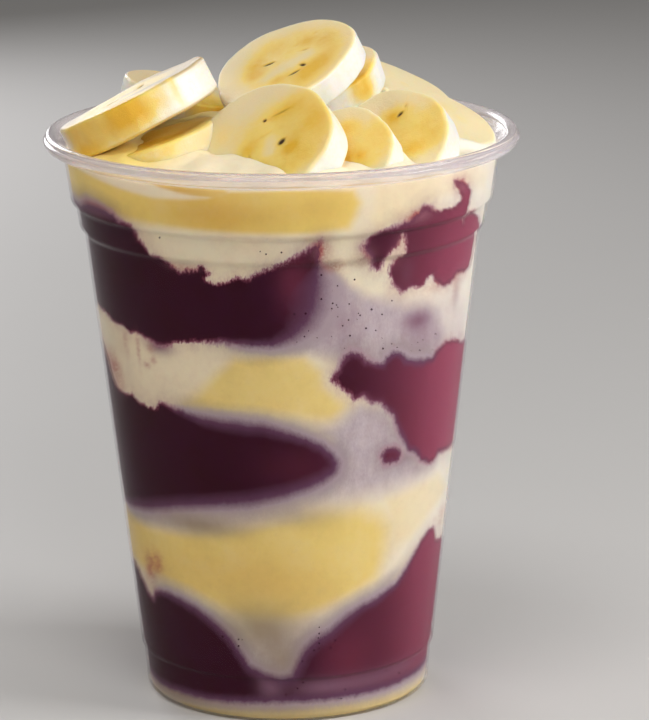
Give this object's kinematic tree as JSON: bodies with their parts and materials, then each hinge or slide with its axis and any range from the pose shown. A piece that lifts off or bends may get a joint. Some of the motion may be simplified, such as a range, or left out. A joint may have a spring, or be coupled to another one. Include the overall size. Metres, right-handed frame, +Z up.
{
  "type": "acai cup",
  "caption": "Clear plastic cup layered with dark acai and pale yellow sweet cream, with thick banana slices heaped above the rim.",
  "frame": {"origin": "middle of the cup's foot, on the surface it stands on", "axes": "+Z up along the cup's axis; -Y is the side facing the viewer, +X is the viewer's right"},
  "size_m": [0.098, 0.098, 0.1403],
  "materials": {
    "clear_plastic": "clear moulded plastic, glossy",
    "acai": "frozen acai pulp, dark purple, satin",
    "cream": "sweet milk cream, pale to golden yellow, satin",
    "banana": "fresh cut banana, moist satin"
  },
  "bodies": {
    "root": {"cup": "clear_plastic", "cream_base": "cream", "acai_lower": "acai", "cream_lower": "cream", "acai_middle": "acai", "cream_middle": "cream", "acai_upper": "acai", "cream_top": "cream", "slice_top": "banana", "slice_front": "banana", "slice_left_rim": "banana", "slice_right": "banana", "slice_front_right": "banana", "slice_right_back": "banana", "slice_behind_top": "banana", "slice_right_rim": "banana", "slice_left_low": "banana", "slice_left_middle": "banana", "slice_left_back": "banana", "slice_back": "banana"}
  },
  "joints": []
}
